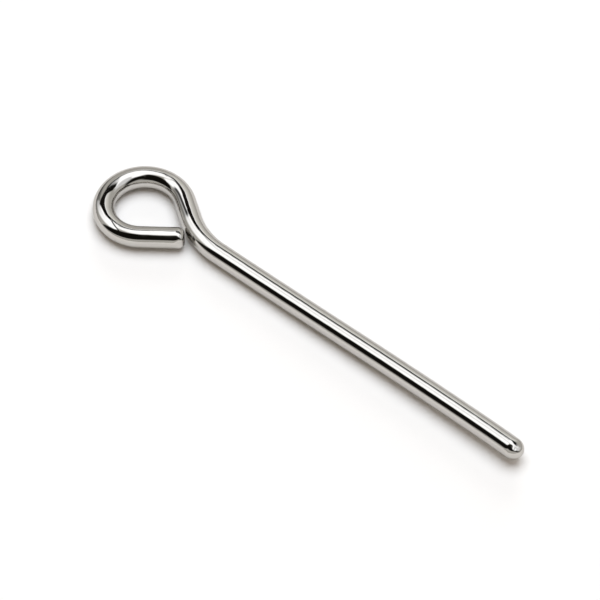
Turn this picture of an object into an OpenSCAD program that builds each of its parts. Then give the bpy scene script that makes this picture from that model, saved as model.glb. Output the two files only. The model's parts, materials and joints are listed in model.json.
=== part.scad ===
// Eye pin bent from one length of round wire: a straight shank with a rounded nose,
// a gentle neck, and an open round eye whose free end stops just short of the neck.
// Millimetres. The pin lies flat: every bend is in the XY plane, and +Z is up.
// The origin is on the shank's axis at its root, where the neck begins.
// +X runs along the shank to the nose. The eye is on the -X side.

/* [Wire] */

// Diameter of the round wire: 1/8 in
wire_d = 3.175; // [2:0.025:6]

/* [Shank] */

// Straight length of full diameter, from the root to the start of the nose
shank_len = 54; // [20:0.5:120]

// Length of the rounded nose beyond the straight shank
nose_len = 1.75; // [1:0.05:5]

/* [Neck] */

// Radius of the neck's bend, at the middle of the wire
neck_r = 12; // [6:0.5:30]

// Angle that the neck turns away from the shank, in degrees
neck_deg = 35; // [20:1:50]

// Straight run between the neck and the eye
neck_run = 3.6; // [1:0.1:10]

/* [Eye] */

// Radius of the eye's first bend, at the middle of the wire
eye_r = 5.9; // [4:0.1:14]

// Angle of the eye's first bend, in degrees
eye_deg = 144; // [120:1:160]

// Radius of the slightly tighter second bend, which closes the eye
close_r = 5.3; // [4:0.1:14]

// Angle of the second bend, in degrees
close_deg = 109; // [80:1:125]

// Straight run from the second bend to the free end
end_run = 6.45; // [1.5:0.05:10]

// Radius of the rounded edge around the free end's flat face
end_round = 1; // [0.8:0.1:1.4]

/* [Hidden] */

// Radius of the wire
wire_r = wire_d / 2;

// The free end keeps a flat face: its edge never rounds away more than 9/10 of the radius
end_edge = min(end_round, 0.9 * wire_r);

// How far the ball at the end of each bend stands proud of the wire. It is a hair, and it
// joins the bend and what follows it into one solid, whatever the bend's angle is.
joint_swell = 0.01;

// How far each bend stops short of what follows it, inside the ball
joint_gap = 0.05;

// Facets of a round surface in the preview
$fn = 64;

// The ball that joins a bend to what follows it, its poles on the wire's axis
module joint() {
    rotate([0, 90, 0])
        sphere(r = wire_r + joint_swell);
}

// One straight run of wire, heading along +X
module run(length) {
    rotate([0, 90, 0])
        cylinder(h = length, r = wire_r);
}

// One bend that leaves the origin along +X and turns left
module bend_left(radius, degrees) {
    gap_deg = joint_gap / radius * 180 / PI;
    translate([0, radius, 0])
        rotate([0, 0, -90])
            rotate_extrude(angle = degrees - gap_deg)
                translate([radius, 0])
                    circle(r = wire_r);
}

// Moves what follows to where a left bend ends, heading the way the wire then runs
module after_left(radius, degrees) {
    translate([radius * sin(degrees), radius * (1 - cos(degrees)), 0])
        rotate([0, 0, degrees]) {
            joint();
            children();
        }
}

// One bend that leaves the origin along +X and turns right
module bend_right(radius, degrees) {
    mirror([0, 1, 0])
        bend_left(radius, degrees);
}

// Moves what follows to where a right bend ends
module after_right(radius, degrees) {
    translate([radius * sin(degrees), -radius * (1 - cos(degrees)), 0])
        rotate([0, 0, -degrees]) {
            joint();
            children();
        }
}

// Half section of the shank: the straight wire, then a nose of half an ellipse
module shank_section() {
    square([wire_r, shank_len]);
    translate([0, shank_len])
        intersection() {
            scale([wire_r, nose_len])
                circle(r = 1);
            square([wire_r, nose_len]);
        }
}

// The shank, heading along +X
module shank() {
    rotate([0, 90, 0])
        rotate_extrude()
            shank_section();
}

// Half section of the last run: the straight wire, then a flat face with a rounded edge
module end_section() {
    square([wire_r, end_run - end_edge]);
    square([wire_r - end_edge, end_run]);
    translate([wire_r - end_edge, end_run - end_edge])
        intersection() {
            circle(r = end_edge);
            square([end_edge, end_edge]);
        }
}

// The last run of wire with its free end, heading along +X
module free_end() {
    rotate([0, 90, 0])
        rotate_extrude()
            end_section();
}

// The open eye: a long first bend, a tighter second bend, and the straight free end
module eye() {
    bend_left(eye_r, eye_deg);
    after_left(eye_r, eye_deg) {
        bend_left(close_r, close_deg);
        after_left(close_r, close_deg)
            free_end();
    }
}

// The neck: it leans the wire away from the shank so that the eye sits on the shank's axis
module neck() {
    bend_right(neck_r, neck_deg);
    after_right(neck_r, neck_deg) {
        run(neck_run);
        translate([neck_run, 0, 0])
            eye();
    }
}

// The whole pin, one piece of wire
module pin() {
    color([0.6, 0.585, 0.56])
        union() {
            shank();
            rotate([0, 0, 180])
                neck();
        }
}

pin();
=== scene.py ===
"""Eye pin: a length of bright plated round wire with a rounded nose, a neck and an open bent eye.

Everything is in metres, in the part's own frame: the origin is on the shank's axis at its root,
+X runs along the shank to the nose, +Z is up, and every bend lies flat in the plane Z = 0.
"""

import json
import math

import bpy
import numpy as np
from mathutils import Matrix, Vector


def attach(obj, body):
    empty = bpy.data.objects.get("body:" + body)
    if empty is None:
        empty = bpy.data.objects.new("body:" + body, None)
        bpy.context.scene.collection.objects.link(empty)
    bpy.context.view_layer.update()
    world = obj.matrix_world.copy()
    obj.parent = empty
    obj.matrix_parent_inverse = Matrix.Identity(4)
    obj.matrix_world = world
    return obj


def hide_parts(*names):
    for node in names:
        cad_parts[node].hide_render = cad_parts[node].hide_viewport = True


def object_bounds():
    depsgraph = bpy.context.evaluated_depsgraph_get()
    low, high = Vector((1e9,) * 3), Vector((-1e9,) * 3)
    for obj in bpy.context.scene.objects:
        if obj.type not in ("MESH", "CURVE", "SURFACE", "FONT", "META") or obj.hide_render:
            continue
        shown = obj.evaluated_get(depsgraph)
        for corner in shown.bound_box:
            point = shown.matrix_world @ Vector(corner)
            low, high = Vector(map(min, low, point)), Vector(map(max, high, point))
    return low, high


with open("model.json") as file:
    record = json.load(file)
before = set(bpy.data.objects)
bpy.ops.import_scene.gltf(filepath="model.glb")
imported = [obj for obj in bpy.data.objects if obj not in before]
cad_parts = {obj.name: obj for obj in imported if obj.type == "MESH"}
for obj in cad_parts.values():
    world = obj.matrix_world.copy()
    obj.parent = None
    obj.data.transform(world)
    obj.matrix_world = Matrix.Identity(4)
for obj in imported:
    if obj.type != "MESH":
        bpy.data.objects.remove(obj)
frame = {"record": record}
cad_box = [list(corner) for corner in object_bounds()]

# ---------------------------------------------------------------- sizes

MM = 0.001
shank_mount = next(mount for mount in frame["record"]["mounts"] if mount["name"] == "shank")

wire_r = shank_mount["dims"]["r_mm"] * MM
girth = 2.0 * math.pi * wire_r
shank_len = shank_mount["dims"]["length_mm"] * MM
nose_len = cad_box[1][0] - shank_len

# How much less than the solid's the eye's radii are, so that the eased bends stay inside it
bend_trim = 0.01 * MM

neck_r = 12.0 * MM
neck_deg = 35.0
neck_run = 3.6 * MM
eye_r = 5.9 * MM - bend_trim
eye_deg = 144.0
close_r = 5.3 * MM - bend_trim
close_deg = 109.0
end_run = 6.45 * MM
end_round = 1.0 * MM

# How far the free end's cut leans back on its left side, in degrees
end_slant_deg = 5.0

# Length over which the wire eases from one curvature into the next, and the samples taken in it
ease_len = 1.0 * MM
ease_samples = 33

# A real shank isn't dead straight: it bows towards +Y over most of its length, and droops the
# other way at the nose. The power says how suddenly it does.
bow_height = 0.107 * MM
bow_span = 66.0 * MM
droop = 0.20 * MM
droop_power = 12

# Small dents in the ends, from cutting and tumbling: distance along the wire from the nose's root,
# angle round it in degrees, from its left side over its top, reach, and height, which is below
# zero because the metal is pressed in
DENTS = [
    (-0.857 * MM, 94.6, 1.157 * MM, -0.145 * MM),
    (-0.985 * MM, 63.6, 0.350 * MM, -0.040 * MM),
    (-0.348 * MM, 28.6, 0.681 * MM, -0.065 * MM),
    (-0.425 * MM, 61.5, 0.547 * MM, -0.072 * MM),
    (95.50 * MM, 165.0, 0.800 * MM, -0.130 * MM),
    (95.35 * MM, 100.0, 0.400 * MM, -0.030 * MM),
]

# How finely the wire is drawn: the step along it, rings in the nose, in the free end's rounded edge
# and in its flat face, and sides round each ring
step_len = 0.16 * MM
rings_in_nose = 56
rings_in_edge = 30
rings_in_face = 10
sides = 136

# The wire's UV map, which holds millimetres along the wire and round it
uv_name = "wire_mm"


# ---------------------------------------------------------------- the wire's shape

def shank_sway(x):
    """How far the shank's middle strays sideways at x along it: a squared raised cosine less a droop.

    The bow is bow_height ((1 - cos(2 pi x / bow_span)) / 2)^2, and the droop grows as the
    droop_power-th power of x up to the nose's root.
    """
    bow = bow_height * (0.5 - 0.5 * np.cos(2.0 * math.pi * x / bow_span)) ** 2
    return bow - droop * (x / shank_len) ** droop_power


def wire_line():
    """The middle of the wire from the nose's root to the start of the free end's rounded edge.

    The heading is a straight line in the distance s along the wire inside each run and bend:
    it falls by the neck's angle and rises by the eye's two angles. It is averaged over ease_len,
    so that curvature comes and goes gradually, and the place is the running sum of
    (cos heading, sin heading) from the nose's root, which lies shank_len out along +X.
    The shank's sway is then added to the place, and its slope to the heading.
    """
    lengths = [
        shank_len,
        neck_r * math.radians(neck_deg),
        neck_run,
        eye_r * math.radians(eye_deg),
        close_r * math.radians(close_deg),
        end_run - end_round,
    ]
    turns = [0.0, -neck_deg, 0.0, eye_deg, close_deg, 0.0]
    knots = np.concatenate([[0.0], np.cumsum(lengths)])
    headings = np.radians(180.0 + np.concatenate([[0.0], np.cumsum(turns)]))
    count = int(round(knots[-1] / step_len)) + 1
    s = np.linspace(0.0, knots[-1], count)
    spread = np.linspace(-0.5, 0.5, ease_samples) * ease_len
    heading = np.interp(s[:, None] + spread[None, :], knots, headings).mean(axis=1)
    middle = 0.5 * (heading[1:] + heading[:-1])
    stride = np.diff(s)[:, None] * np.stack([np.cos(middle), np.sin(middle)], axis=1)
    place = np.array([shank_len, 0.0]) + np.concatenate([np.zeros((1, 2)), np.cumsum(stride, axis=0)])
    x = np.clip(shank_len - s, 0.0, shank_len)
    sway = shank_sway(x)
    place[:, 1] += sway
    heading = heading - np.arctan(np.gradient(sway, s))
    return s, place, heading


def wire_rings():
    """Rings of the whole wire: distance along it, middle, heading, radius and slant of each.

    The nose is half an ellipse: at angle a it lies nose_len sin a ahead of its root and has radius
    wire_r cos a. The free end's edge is a quarter circle of radius end_round, and its flat face
    closes from there to the middle. The slant grows over the edge to the tangent of the cut's angle.
    """
    s, place, heading = wire_line()
    a = np.linspace(0.5 * math.pi, 0.0, rings_in_nose + 1)[:-1]
    nose_s = -nose_len * np.sin(a)
    onward = -np.array([math.cos(heading[0]), math.sin(heading[0])])
    nose_place = place[0] - nose_s[:, None] * onward
    nose_radius = wire_r * np.cos(a)
    b = np.linspace(0.0, 0.5 * math.pi, rings_in_edge + 1)[1:]
    ahead = np.array([math.cos(heading[-1]), math.sin(heading[-1])])
    edge_out = end_round * np.sin(b)
    edge_radius = wire_r - end_round + end_round * np.cos(b)
    face_radius = (wire_r - end_round) * np.linspace(1.0, 0.0, rings_in_face + 1)[1:]
    face_out = np.full(rings_in_face, end_round)
    out = np.concatenate([edge_out, face_out])
    all_s = np.concatenate([nose_s, s, s[-1] + out])
    all_place = np.concatenate([nose_place, place, place[-1] + out[:, None] * ahead])
    all_heading = np.concatenate([np.full(len(a), heading[0]), heading, np.full(len(out), heading[-1])])
    all_radius = np.concatenate([nose_radius, np.full(len(s), wire_r), edge_radius, face_radius])
    end_slant = math.tan(math.radians(end_slant_deg)) * out / end_round
    all_slant = np.concatenate([np.zeros(len(a) + len(s)), end_slant])
    return all_s, all_place, all_heading, all_radius, all_slant


def surface_normals(grid, outward):
    """The unit normal at each point of a grid of rings, from the cross product of its two tangents."""
    round_it = np.roll(grid, -1, axis=1) - np.roll(grid, 1, axis=1)
    along = np.gradient(grid, axis=0)
    normal = np.cross(round_it, along)
    normal /= np.linalg.norm(normal, axis=2, keepdims=True)
    return normal * np.sign(np.sum(normal * outward, axis=2, keepdims=True))


def press_dents(verts, normals, s):
    """The surface with its dents: each moves a point by height (1 - (d / reach)^2)^2 along its normal.

    d is the point's distance from the dent's middle, beyond whose reach nothing moves.
    """
    pressed = verts.copy()
    for distance, degrees, reach, height in DENTS:
        ring = np.argmin(np.abs(s[1:-1] - distance))
        column = int(round(degrees / 360.0 * sides)) % sides
        away = np.linalg.norm(verts - verts[1 + ring * sides + column], axis=1) / reach
        depth = height * np.clip(1.0 - away ** 2, 0.0, None) ** 2
        pressed += depth[:, None] * normals
    return pressed


def wire_surface():
    """The wire's points: ring i, side j lies at middle_i + radius_i (cos t_j side_i + sin t_j up).

    side_i is square to the heading in the floor's plane, up is +Z, and t_j goes once round. A slanted
    ring also steps back along its heading by slant_i radius_i cos t_j. The first and last rings have
    no radius, so each is one point. With the points come their distances along the wire and round it.
    """
    s, place, heading, radius, slant = wire_rings()
    t = np.linspace(0.0, 2.0 * math.pi, sides, endpoint=False)
    side = np.stack([-np.sin(heading), np.cos(heading), np.zeros_like(heading)], axis=1)
    forward = np.stack([np.cos(heading), np.sin(heading), np.zeros_like(heading)], axis=1)
    up = np.array([0.0, 0.0, 1.0])
    middle = np.concatenate([place, np.zeros((len(s), 1))], axis=1)
    body = slice(1, len(s) - 1)
    outward = np.cos(t)[None, :, None] * side[body, None, :] + np.sin(t)[None, :, None] * up
    outward = outward - slant[body, None, None] * np.cos(t)[None, :, None] * forward[body, None, :]
    grid = middle[body, None, :] + radius[body, None, None] * outward
    verts = np.concatenate([middle[:1], grid.reshape(-1, 3), middle[-1:]])
    normals = surface_normals(grid, outward)
    normals = np.concatenate([-forward[:1], normals.reshape(-1, 3), forward[-1:]])
    verts = press_dents(verts, normals, s)
    along = np.concatenate([s[:1], np.repeat(s[body], sides), s[-1:]])
    round_it = np.concatenate([[0.0], np.tile(t, len(grid)), [0.0]]) / (2.0 * math.pi) * girth
    return verts, along, round_it


def wire_faces(rings):
    """Four-sided faces between neighbouring rings, and a fan of triangles that closes each end.

    The corners come in one row, with how many each face has, and with whether it wraps: the last
    face round a ring comes back to the ring's first point.
    """
    i, j = np.meshgrid(np.arange(rings - 1), np.arange(sides), indexing="ij")
    k = (j + 1) % sides
    quads = 1 + np.stack([i * sides + j, i * sides + k, (i + 1) * sides + k, (i + 1) * sides + j], axis=-1)
    j = np.arange(sides)
    k = (j + 1) % sides
    nose_tip = np.zeros(sides, int)
    nose_fan = np.stack([nose_tip, 1 + k, 1 + j], axis=1)
    last_ring = 1 + (rings - 1) * sides
    face_middle = np.full(sides, last_ring + sides)
    face_fan = np.stack([last_ring + j, last_ring + k, face_middle], axis=1)
    corners = np.concatenate([quads.ravel(), nose_fan.ravel(), face_fan.ravel()])
    counts = np.concatenate([np.full((rings - 1) * sides, 4), np.full(2 * sides, 3)])
    wraps = np.tile(j == sides - 1, rings + 1)
    return corners, counts, wraps


def build_wire():
    """The wire's mesh, with a UV map of millimetres along the wire and round it.

    A face that wraps ends at a full girth in the map, not at zero, so that no pattern has a seam.
    """
    verts, along, round_it = wire_surface()
    corners, counts, wraps = wire_faces((len(verts) - 2) // sides)
    starts = np.concatenate([[0], np.cumsum(counts)[:-1]])
    mesh = bpy.data.meshes.new("bright_wire")
    mesh.vertices.add(len(verts))
    mesh.vertices.foreach_set("co", verts.ravel())
    mesh.loops.add(len(corners))
    mesh.loops.foreach_set("vertex_index", corners.astype(np.int32))
    mesh.polygons.add(len(counts))
    mesh.polygons.foreach_set("loop_start", starts.astype(np.int32))
    mesh.polygons.foreach_set("loop_total", counts.astype(np.int32))
    mesh.update(calc_edges=True)
    mesh.polygons.foreach_set("use_smooth", np.ones(len(counts), bool))

    uv = np.stack([along[corners], round_it[corners]], axis=1) / MM
    past_seam = np.repeat(wraps, counts) & (round_it[corners] < 0.5 * girth)
    uv[past_seam, 1] += girth / MM
    layer = mesh.uv_layers.new(name=uv_name)
    layer.data.foreach_set("uv", uv.astype(np.float32).ravel())
    mesh.validate()
    piece = bpy.data.objects.new("bright_wire", mesh)
    bpy.context.collection.objects.link(piece)
    return piece


# ---------------------------------------------------------------- materials

def new_material(name):
    """A fresh material with its Principled shader, node list and link function."""
    material = bpy.data.materials.new(name)
    material.use_nodes = True
    nodes = material.node_tree.nodes
    links = material.node_tree.links
    return material, nodes["Principled BSDF"], nodes, links


def add_math(nodes, links, operation, first, second=0.0, third=0.0):
    """One sum on numbers or sockets."""
    node = nodes.new("ShaderNodeMath")
    node.operation = operation
    for socket, value in zip(node.inputs, (first, second, third)):
        if isinstance(value, bpy.types.NodeSocket):
            links.new(value, socket)
        else:
            socket.default_value = value
    return node.outputs[0]


def add_noise(nodes, links, place, scale, detail, roughness):
    """Noise between 0 and 1, its middle near a half, on a place stretched by the scale's three parts."""
    mapping = nodes.new("ShaderNodeMapping")
    mapping.inputs["Scale"].default_value = scale
    links.new(place, mapping.inputs["Vector"])
    noise = nodes.new("ShaderNodeTexNoise")
    noise.inputs["Scale"].default_value = 1.0
    noise.inputs["Detail"].default_value = detail
    noise.inputs["Roughness"].default_value = roughness
    links.new(mapping.outputs[0], noise.inputs["Vector"])
    return noise.outputs["Fac"]


def add_ramp(nodes, links, value, low, high, at_low, at_high):
    """A value carried smoothly from at_low, where it is low, to at_high, where it is high."""
    ramp = nodes.new("ShaderNodeMapRange")
    ramp.interpolation_type = "SMOOTHSTEP"
    for socket, number in zip(("From Min", "From Max", "To Min", "To Max"), (low, high, at_low, at_high)):
        ramp.inputs[socket].default_value = number
    links.new(value, ramp.inputs["Value"])
    return ramp.outputs["Result"]


def add_shaded(nodes, links, colour, shade):
    """A colour times a shade between 0 and 1."""
    product = nodes.new("ShaderNodeMix")
    product.data_type = "RGBA"
    product.blend_type = "MULTIPLY"
    product.inputs[0].default_value = 1.0
    product.inputs[6].default_value = colour
    links.new(shade, product.inputs[7])
    return product.outputs[2]


def add_bump(nodes, links, height, distance):
    """A normal that leans as if the surface stood up by a height times a distance."""
    bump = nodes.new("ShaderNodeBump")
    bump.inputs["Distance"].default_value = distance
    links.new(height, bump.inputs["Height"])
    return bump.outputs[0]


def add_wire_measures(nodes, links):
    """Millimetres along the wire from the nose's root, and millimetres round it, from the UV map."""
    uv = nodes.new("ShaderNodeUVMap")
    uv.uv_map = uv_name
    split = nodes.new("ShaderNodeSeparateXYZ")
    links.new(uv.outputs[0], split.inputs[0])
    return split.outputs["X"], split.outputs["Y"]


def add_rod_place(nodes, links, along, round_it):
    """Where a point would be, in millimetres, if the wire were pulled straight along Z.

    The distance round the wire over its radius is the angle, whose cosine and sine times the
    radius are X and Y, so a pattern has no seam.
    """
    radius = wire_r / MM
    angle = add_math(nodes, links, "DIVIDE", round_it, radius)
    x = add_math(nodes, links, "MULTIPLY", add_math(nodes, links, "COSINE", angle), radius)
    y = add_math(nodes, links, "MULTIPLY", add_math(nodes, links, "SINE", angle), radius)
    place = nodes.new("ShaderNodeCombineXYZ")
    for socket, value in zip(place.inputs, (x, y, along)):
        links.new(value, socket)
    return place.outputs[0]


# Stripes along the wire: a nick that a tool left near the free end, and painted reflections, dark
# lines put where the metal mirrors something dark. For each, where it starts and finishes in
# millimetres from the nose's root, at which angles round the wire in degrees, from its left side over
# its top, and in millimetres again half its width and the length over which its ends fade
# Painted reflection: a dark line on the neck's inner side, where it mirrors the free end and its shadow
NECK_PAINTED_REFLECTION = (60.6, 67.4, 70.0, 59.0, 0.22, 1.0)
# Painted reflection: a duller band beside that line, from the same mirrored free end and shadow
NECK_PAINTED_BAND = (60.6, 67.4, 60.0, 50.0, 0.36, 1.0)
# Painted reflection: a fine dark line across the eye's second bend, carrying on the mirrored dark edge of
# the left card
EYE_PAINTED_LINE = (85.4, 87.3, 93.8, 119.5, 0.12, 0.1)
END_NICK = (94.95, 95.7, 91.0, 101.0, 0.22, 0.12)

# How much of a mark's half width is fully dark
mark_core = 0.4

# Painted shade round the free end's rounded edge, standing for the mirrored shadow between the end
# and the neck, in millimetres from the nose's root: it darkens from rim_start to rim_dark and gives
# way to the face from rim_inner to face_start. The last of these numbers is how dark it is beside the
# stripes.
rim_start = 95.95
rim_dark = 96.15
rim_inner = 96.18
face_start = 96.24
rim_shade_depth = 0.6

# Patterns in the plate, on the straightened wire: how tightly each repeats in X, Y and Z, how fine
# its detail goes, and how rough that detail is. Rubbed patches are where theirs is at its highest.
DIE_LINES = ((5.5, 5.5, 0.09), 2.0, 0.6)
WAVES = ((0.75, 0.75, 0.42), 1.0, 0.4)
DAPPLES = ((2.4, 2.4, 1.6), 3.0, 0.65)
PATCHES = ((1.1, 1.1, 0.45), 4.0, 0.7)
patch_edge = 0.55
patch_middle = 0.75

# The plate's colour, and the tint of what it mirrors at a glancing angle
plate_colour = (0.555, 0.534, 0.503, 1.0)
glancing_tint = (0.75, 0.75, 0.75, 1.0)

# What share of its colour plain plate shows, and what each pattern and mark adds or takes away
plain_shine = 0.905
die_line_shine = 0.06
dapple_shine = 0.13
rubbed_shine = -0.05
# The nick and the painted shade and reflections take away this share
nick_and_shade_shine = -0.92
# The painted band beside the neck's painted reflection takes away this share
neck_band_shine = -0.45

# How rough plain plate is, and what each pattern and mark adds
plain_rough = 0.03
dapple_rough = 0.03
rubbed_rough = 0.06
nick_and_shade_rough = 0.1

# Heights of the plate's relief in millimetres: the die lines, and the waves on the shank and on the
# bends. The waves change from the one height to the other this far to each side of the root.
die_line_height = 0.002
shank_wave_height = 0.012
bend_wave_height = 0.03
wave_change = 3.0


def add_stripe_mask(nodes, links, along, round_it, mark):
    """1 inside one stripe on the wire, fading to 0 at its edges and ends. It draws the nick and the painted
    reflections.

    The mark's middle is a straight line on the wire's unrolled surface, so that the distance round
    the wire is slope times the distance along it, plus rise.
    """
    start, finish, start_deg, finish_deg, half_width, fade = mark
    mm_per_deg = girth / MM / 360.0
    slope = (finish_deg - start_deg) * mm_per_deg / (finish - start)
    rise = start_deg * mm_per_deg - slope * start
    line = add_math(nodes, links, "MULTIPLY_ADD", along, slope, rise)
    off = add_math(nodes, links, "ABSOLUTE", add_math(nodes, links, "SUBTRACT", round_it, line))
    across = add_ramp(nodes, links, off, mark_core * half_width, half_width, 1.0, 0.0)
    begun = add_ramp(nodes, links, along, start, start + fade, 0.0, 1.0)
    not_done = add_ramp(nodes, links, along, finish - fade, finish, 1.0, 0.0)
    return add_math(nodes, links, "MULTIPLY", across, add_math(nodes, links, "MULTIPLY", begun, not_done))


def add_rim_painted_shade(nodes, links, along):
    """Painted shade round the free end's edge, but not on its flat face: it stands for the mirrored shadow
    between the end and the neck.
    """
    painted_rim_shade = add_ramp(nodes, links, along, rim_start, rim_dark, 0.0, rim_shade_depth)
    not_face = add_ramp(nodes, links, along, rim_inner, face_start, 1.0, 0.0)
    return add_math(nodes, links, "MULTIPLY", painted_rim_shade, not_face)


def plated_wire():
    """Bright nickel plate on drawn wire.

    Fine die lines run along the wire, the plate's surface waves a little where the wire was drawn
    and bent, its colour is faintly dappled, and here and there it has been rubbed duller. A tool left
    a nick near the free end. Other dark lines are painted: a painted reflection of the free end and
    its shadow on the neck's inner side, as a dark line with a duller band beside it, a painted dark
    line across the eye's second bend carrying on the mirrored edge of the left card, and painted shade
    round the free end's rounded edge, where it mirrors the shadow by the neck.
    """
    material, shader, nodes, links = new_material("bright_nickel_plate")
    along, round_it = add_wire_measures(nodes, links)
    place = add_rod_place(nodes, links, along, round_it)
    die_lines = add_noise(nodes, links, place, *DIE_LINES)
    waves = add_noise(nodes, links, place, *WAVES)
    dapples = add_noise(nodes, links, place, *DAPPLES)
    patches = add_noise(nodes, links, place, *PATCHES)
    rubs = add_ramp(nodes, links, patches, patch_edge, patch_middle, 0.0, 1.0)
    # Painted shade at the free end's edge first, then the nick and the painted reflections
    nick_and_painted_shade = add_rim_painted_shade(nodes, links, along)
    for mark in (NECK_PAINTED_REFLECTION, EYE_PAINTED_LINE, END_NICK):
        one_mark = add_stripe_mask(nodes, links, along, round_it, mark)
        nick_and_painted_shade = add_math(nodes, links, "MAXIMUM", nick_and_painted_shade, one_mark)
    # Painted reflection of the free end and its shadow: the duller band on the neck
    neck_band_shade = add_stripe_mask(nodes, links, along, round_it, NECK_PAINTED_BAND)

    shine = add_math(nodes, links, "MULTIPLY_ADD", die_lines, die_line_shine, plain_shine)
    shine = add_math(nodes, links, "MULTIPLY_ADD", dapples, dapple_shine, shine)
    shine = add_math(nodes, links, "MULTIPLY_ADD", rubs, rubbed_shine, shine)
    # Darken by the nick and by the painted shade and reflections
    for mask, change in ((nick_and_painted_shade, nick_and_shade_shine), (neck_band_shade, neck_band_shine)):
        kept = add_math(nodes, links, "MULTIPLY_ADD", mask, change, 1.0)
        shine = add_math(nodes, links, "MULTIPLY", shine, kept)
    links.new(add_shaded(nodes, links, plate_colour, shine), shader.inputs["Base Color"])

    rough = add_math(nodes, links, "MULTIPLY_ADD", dapples, dapple_rough, plain_rough)
    rough = add_math(nodes, links, "MULTIPLY_ADD", rubs, rubbed_rough, rough)
    # The nicked and the painted places are rougher too
    nick_and_all_painted_shade = add_math(nodes, links, "MAXIMUM", nick_and_painted_shade, neck_band_shade)
    rough = add_math(nodes, links, "MULTIPLY_ADD", nick_and_all_painted_shade, nick_and_shade_rough, rough)
    links.new(rough, shader.inputs["Roughness"])

    root = shank_len / MM
    wave_height = add_ramp(nodes, links, along, root - wave_change, root + wave_change,
                           shank_wave_height, bend_wave_height)
    height = add_math(nodes, links, "MULTIPLY", waves, wave_height)
    height = add_math(nodes, links, "MULTIPLY_ADD", die_lines, die_line_height, height)
    links.new(add_bump(nodes, links, height, MM), shader.inputs["Normal"])

    shader.inputs["Metallic"].default_value = 1.0
    shader.inputs["Specular Tint"].default_value = glancing_tint
    return material


# ---------------------------------------------------------------- camera and studio

# The camera's height above the floor's plane and its turn from the shank, in degrees
camera_height_deg = 51.51
camera_turn_deg = 40.01

# How far off it stands, what it looks at, how much it sees from side to side there, and how far it
# sees. The film's width is in millimetres.
camera_distance = 1.4634
camera_target = Vector((0.014302, 0.000976, 0.0))
view_width = 0.08476
sight = 20.0
film_width = 36.0


def studio_axes():
    """The camera's right-hand side and its level heading, in the part's frame."""
    turn = math.radians(camera_turn_deg)
    right = Vector((math.cos(turn), math.sin(turn), 0.0))
    ahead = Vector((-math.sin(turn), math.cos(turn), 0.0))
    return right, ahead


def add_camera():
    """A long lens that looks down on the wire from the front left of the shank."""
    right, ahead = studio_axes()
    height = math.radians(camera_height_deg)
    back = -math.cos(height) * ahead + math.sin(height) * Vector((0.0, 0.0, 1.0))
    up = back.cross(right)
    data = bpy.data.cameras.new("camera")
    data.sensor_width = film_width
    data.lens = film_width * camera_distance / view_width
    data.clip_end = sight
    camera = bpy.data.objects.new("camera", data)
    turn = Matrix((right, up, back)).transposed().to_4x4()
    camera.matrix_world = Matrix.Translation(camera_target + camera_distance * back) @ turn
    bpy.context.collection.objects.link(camera)
    bpy.context.scene.camera = camera


def direction(azimuth, elevation):
    """The direction at an azimuth to the right of the camera's heading and an elevation above the floor."""
    right, ahead = studio_axes()
    a, e = math.radians(azimuth), math.radians(elevation)
    level = math.sin(a) * right + math.cos(a) * ahead
    return math.cos(e) * level + math.sin(e) * Vector((0.0, 0.0, 1.0))


# Studio cards, painted over one another in this order: name, brightness, tint, corners as azimuth
# and elevation in degrees, and how softly each side fades, beginning with the side between the
# first two corners
WHITE = (1.0, 1.026, 1.069)
GREY = (1.0, 1.006, 0.987)
BLACK = (1.0, 0.9, 0.75)
CARDS = [
    ("back_wall", 1.155, GREY, [(-23, 67), (57, 52), (51, 34), (10, 27)], [0.07, 0.18, 0.41, 0.05]),
    ("overhead", 1.88, WHITE, [(-60, 57), (1, 43), (85, 40), (159, 51), (185, 73), (-127, 76)],
     [0.03, 0.06, 0.03, 0.15, 0.1, 0.03]),
    ("left", 1.86, WHITE, [(-88, 69), (-106, 44), (-48, 10), (-29, 54), (-62, 66)],
     [0.03, 0.14, 0.04, 0.06, 0.03]),
    ("right", 1.035, WHITE, [(97, 68), (80, 27), (131, 26), (138, 52), (119, 71)],
     [0.1, 0.12, 0.06, 0.05, 0.03]),
    ("back_post", 0.14, GREY, [(-38, 42), (-69, -3), (-14, -4), (-40, 44)], [0.5, 0.1, 0.2, 0.05]),
    ("seam", 0.33, GREY, [(-60, 67), (-12, 53), (-11, 56), (-63, 67)], [0.02, 0.02, 0.02, 0.02]),
    ("gap_left", 0.01, BLACK, [(-55, 22), (-29, 40), (9, 43), (6, 50), (-27, 58), (-36, 49)],
     [0.02, 0.04, 0.025, 0.02, 0.03, 0.025]),
    ("gap_right", 0.01, BLACK, [(-3, 56), (3, 47), (69, 43), (81, 47), (61, 66), (5, 57), (-4, 53)],
     [0.02, 0.02, 0.07, 0.03, 0.015, 0.06, 0.02]),
    ("gap_middle", 0.015, BLACK, [(-18, 63), (5, 51), (6, 40), (-2, 50)], [0.015, 0.02, 0.025, 0.04]),
    ("camera_left", 0.008, BLACK, [(-118, 73), (-91, 6), (-125, 12), (-189, 24), (-193, 68), (-137, 79)],
     [0.09, 0.03, 0.03, 0.18, 0.07, 0.03]),
    ("camera_right", 0.008, BLACK, [(-185, 70), (-175, 35), (152, 21), (112, -7), (118, 24), (143, 61)],
     [0.05, 0.09, 0.15, 0.25, 0.14, 0.13]),
]
room_brightness = 0.61
room_tint = (1.0, 0.99, 0.95)

# Light that the room spills on to the floor from all round
spill_brightness = 0.228
spill_tint = (1.18, 0.96, 0.75)


def tinted(tint, brightness):
    """A tint at a brightness, as a colour with its fourth part."""
    return [brightness * part for part in tint] + [1.0]


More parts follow.
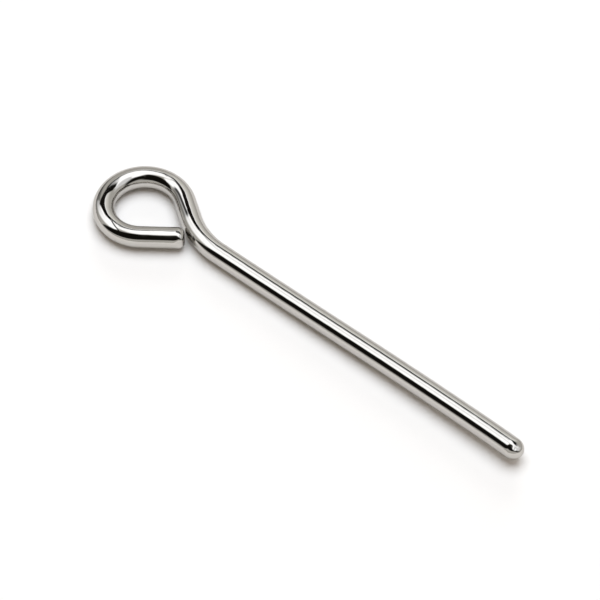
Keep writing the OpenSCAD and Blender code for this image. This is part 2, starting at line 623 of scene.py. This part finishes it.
def add_card_mask(nodes, links, looked, corners, fades):
    """1 where the direction looked along falls inside a card, fading to 0 across its sides.

    The mask is the product of one smooth step for each side, taken on the distance of the
    direction from the plane through the wire and that side.
    """
    points = [direction(azimuth, elevation) for azimuth, elevation in corners]
    middle = sum(points, Vector((0.0, 0.0, 0.0)))
    mask = 1.0
    for point, after, fade in zip(points, points[1:] + points[:1], fades):
        inward = point.cross(after).normalized()
        if inward.dot(middle) < 0.0:
            inward = -inward
        dot = nodes.new("ShaderNodeVectorMath")
        dot.operation = "DOT_PRODUCT"
        dot.inputs[1].default_value = inward
        links.new(looked, dot.inputs[0])
        inside = add_ramp(nodes, links, dot.outputs["Value"], -fade, fade, 0.0, 1.0)
        mask = add_math(nodes, links, "MULTIPLY", mask, inside)
    return mask


def add_world():
    """A dim grey room with soft white cards above and beside the wire and dark gaps between them.

    The camera sees the cards, and the metal mirrors them. The floor gets their even spill, and its
    main light from the softboxes.
    """
    world = bpy.data.worlds.new("studio")
    bpy.context.scene.world = world
    world.use_nodes = True
    nodes, links = world.node_tree.nodes, world.node_tree.links
    nodes.clear()
    looked = nodes.new("ShaderNodeTexCoord").outputs["Generated"]
    room = nodes.new("ShaderNodeRGB")
    room.outputs[0].default_value = tinted(room_tint, room_brightness)
    shade = room.outputs[0]
    for name, brightness, tint, corners, fades in CARDS:
        over = nodes.new("ShaderNodeMix")
        over.data_type = "RGBA"
        over.label = name
        links.new(add_card_mask(nodes, links, looked, corners, fades), over.inputs[0])
        links.new(shade, over.inputs[6])
        over.inputs[7].default_value = tinted(tint, brightness)
        shade = over.outputs[2]
    cards = nodes.new("ShaderNodeBackground")
    links.new(shade, cards.inputs["Color"])
    spill = nodes.new("ShaderNodeBackground")
    spill.inputs["Color"].default_value = tinted(spill_tint, spill_brightness)
    rays = nodes.new("ShaderNodeLightPath").outputs
    shown = add_math(nodes, links, "MAXIMUM", rays["Is Camera Ray"], rays["Is Glossy Ray"])
    mix = nodes.new("ShaderNodeMixShader")
    links.new(shown, mix.inputs["Fac"])
    links.new(spill.outputs[0], mix.inputs[1])
    links.new(cards.outputs[0], mix.inputs[2])
    output = nodes.new("ShaderNodeOutputWorld")
    links.new(mix.outputs[0], output.inputs["Surface"])


# Softboxes, for the floor's light and shadow alone: name, colour, power in watts, and the azimuth,
# elevation and half-width in degrees that each is seen at from the wire
SOFTBOXES = [
    ("softbox_overhead", (0.906, 0.951, 1.0), 95.4, 14.0, 79.2, 30.0),
    ("softbox_low", (1.0, 0.99, 0.97), 27.5, 5.0, 18.0, 16.0),
]
softbox_distance = 3.0


def add_softboxes():
    """A wide round softbox almost overhead, and a smaller one low behind the wire."""
    for name, colour, power, azimuth, elevation, half_width in SOFTBOXES:
        data = bpy.data.lights.new(name, "AREA")
        data.shape = "DISK"
        data.size = 2.0 * softbox_distance * math.tan(math.radians(half_width))
        data.energy = power
        data.color = colour
        lamp = bpy.data.objects.new(name, data)
        toward = direction(azimuth, elevation)
        lamp.location = softbox_distance * toward
        lamp.rotation_euler = toward.to_track_quat("Z", "Y").to_euler()
        lamp.visible_glossy = False
        lamp.visible_camera = False
        bpy.context.collection.objects.link(lamp)


# The floor: its colour, its tooth and its faint clouds, which are patterns like the plate's, how
# much each of these varies the colour, and the tooth's height
floor_colour = (0.98, 0.98, 0.98, 1.0)
TOOTH = ((900.0, 900.0, 900.0), 3.0, 0.6)
CLOUDS = ((18.0, 18.0, 18.0), 2.0, 0.5)
tooth_shade = 0.008
cloud_shade = 0.008
tooth_height = 0.02 * MM


def white_floor():
    """Matt white card with a faint tooth: its colour and height vary by a hair."""
    material, shader, nodes, links = new_material("white_floor")
    place = nodes.new("ShaderNodeTexCoord").outputs["Object"]
    tooth = add_noise(nodes, links, place, *TOOTH)
    clouds = add_noise(nodes, links, place, *CLOUDS)
    shade = add_math(nodes, links, "MULTIPLY_ADD", tooth, tooth_shade, 1.0 - tooth_shade)
    shade = add_math(nodes, links, "MULTIPLY_ADD", clouds, cloud_shade, shade)
    links.new(add_shaded(nodes, links, floor_colour, shade), shader.inputs["Base Color"])
    links.new(add_bump(nodes, links, tooth, tooth_height), shader.inputs["Normal"])
    shader.inputs["Roughness"].default_value = 1.0
    shader.inputs["Specular IOR Level"].default_value = 0.0
    return material


# The eye and the neck lie on the floor, and the shank stands a little off it: from fold on, the
# floor falls away, until it is nose_gap below the wire at the nose's root. The floor goes on for
# floor_reach to every side.
fold = 10.0 * MM
nose_gap = 0.62 * MM
floor_reach = 3.0


def add_floor():
    """A plain white floor, level under the eye and falling away a little under the shank."""
    far = floor_reach
    level = -wire_r
    low = level - nose_gap * (far - fold) / (shank_len - fold)
    corners = [(-far, -far, level), (fold, -far, level), (far, -far, low),
               (far, far, low), (fold, far, level), (-far, far, level)]
    mesh = bpy.data.meshes.new("floor")
    mesh.from_pydata(corners, [], [(0, 1, 4, 5), (1, 2, 3, 4)])
    mesh.materials.append(white_floor())
    floor = bpy.data.objects.new("floor", mesh)
    bpy.context.collection.objects.link(floor)


# ---------------------------------------------------------------- assembly

wire = build_wire()
wire.data.materials.append(plated_wire())
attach(wire, "root")
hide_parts("pin")

add_floor()
add_softboxes()
add_world()
add_camera()
bpy.context.scene.view_settings.view_transform = "Standard"
